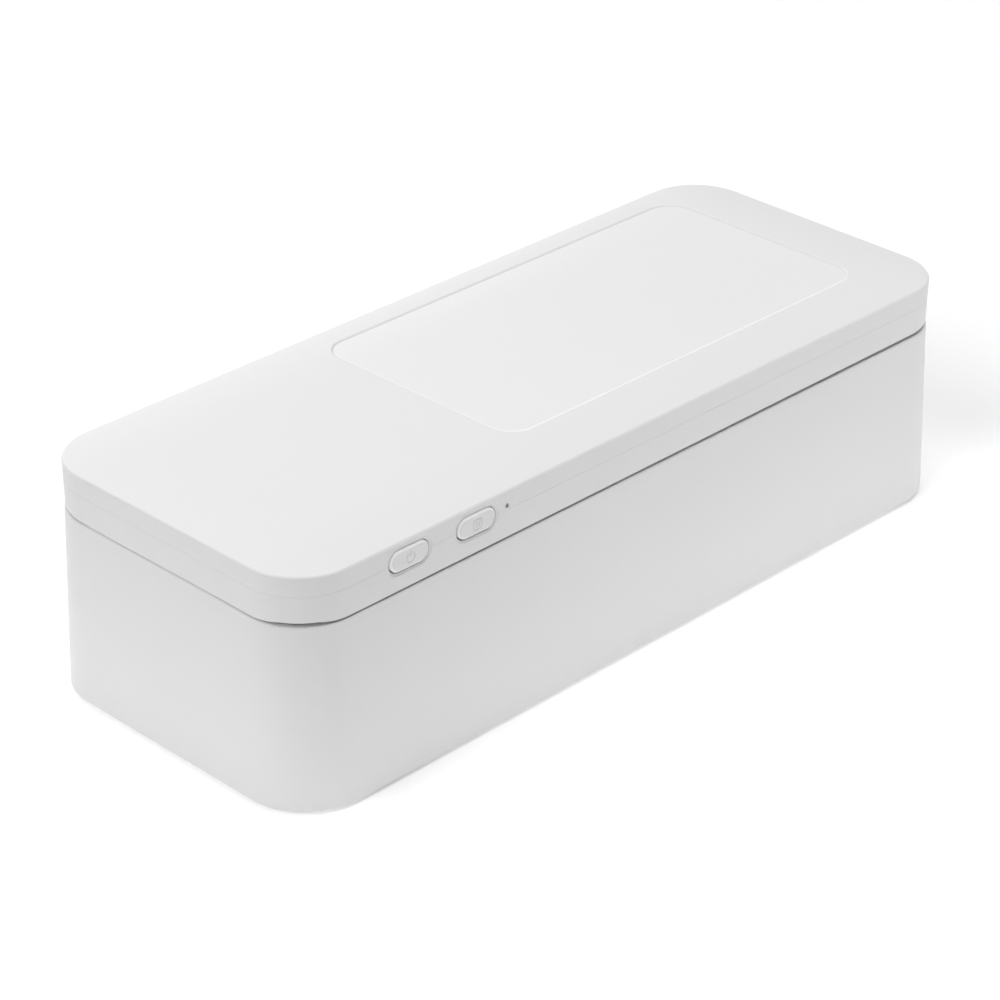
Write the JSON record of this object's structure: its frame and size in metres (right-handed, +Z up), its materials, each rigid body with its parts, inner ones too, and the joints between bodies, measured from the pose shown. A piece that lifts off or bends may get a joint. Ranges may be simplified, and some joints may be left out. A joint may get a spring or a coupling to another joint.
{
  "type": "uv sanitizer box for phones",
  "caption": "Long white box with a drafted base, a reflective chamber and a thick rear-hinged lid with a wireless charging pad, front buttons, UV lamps and a power inlet.",
  "frame": {"origin": "on the table, below the middle of the base, 1.25 mm in front of the middle of the whole box with its hinge", "axes": "+X along the length to the right as seen from the button side, -Y towards the button side, +Z up"},
  "size_m": [0.24, 0.099, 0.0648],
  "materials": {
    "white_shell": "fine satin texture",
    "pad_white": "smooth satin",
    "button_white": "smooth satin",
    "metallised": "vacuum metallised, bright",
    "rack_plastic": "gloss",
    "seal_rubber": "matte",
    "foot_rubber": "matte",
    "steel": "turned",
    "magnet": "nickel plated",
    "quartz": "clear",
    "strip_board": "white solder mask",
    "lamp_gold": "ceramic and gold",
    "black_plastic": "moulded",
    "green_board": "solder mask",
    "ferrite": "matte",
    "capacitor_tan": "gloss",
    "socket_steel": "stamped",
    "clear_plastic": "clear",
    "copper": "enamelled wire"
  },
  "bodies": {
    "base": {"base_shell": "white_shell", "chamber_liner": "metallised", "phone_rack": "rack_plastic", "light_seal": "seal_rubber", "bottom_cover": "white_shell", "bottom_screws": "steel", "rubber_feet": "foot_rubber", "base_magnets": "magnet", "sensor_magnet": "magnet", "hinge_pins": "steel"},
    "lid": {"lid_frame": "white_shell", "lid_cover": "white_shell", "charging_pad": "pad_white", "lid_reflector": "metallised", "reflector_screws": "steel", "lid_screws": "steel", "lamp_windows": "quartz", "lamp_boards": "strip_board", "uv_lamps": "lamp_gold", "board_headers": "black_plastic", "main_board": "green_board", "board_screws": "steel", "controller_chip": "black_plastic", "charger_chip": "black_plastic", "power_inductor": "ferrite", "filter_capacitors": "capacitor_tan", "usb_socket": "socket_steel", "button_switches": "socket_steel", "hall_sensor": "black_plastic", "status_light": "clear_plastic", "light_pipe": "clear_plastic", "coil_holder": "white_shell", "ferrite_sheet": "ferrite", "charging_coil": "copper", "coil_leads": "copper", "coil_screws": "steel", "lid_magnets": "magnet"},
    "power_key": {"power_button": "button_white", "power_plunger": "black_plastic"},
    "cycle_key": {"cycle_button": "button_white", "cycle_plunger": "black_plastic"}
  },
  "joints": [
    {"name": "lid_hinge", "type": "hinge", "parent": "base", "child": "lid", "pos_m": [0, 0.04815, 0.05095], "axis": [-1, 0, 0], "range_deg": [0, 100]},
    {"name": "power_press", "type": "slide", "parent": "lid", "child": "power_key", "axis": [0, 1, 0], "range_m": [0, 0.0005], "stiffness_N_per_m": 800, "springref_m": -0.0004},
    {"name": "cycle_press", "type": "slide", "parent": "lid", "child": "cycle_key", "axis": [0, 1, 0], "range_m": [0, 0.0005], "stiffness_N_per_m": 800, "springref_m": -0.0004}
  ]
}
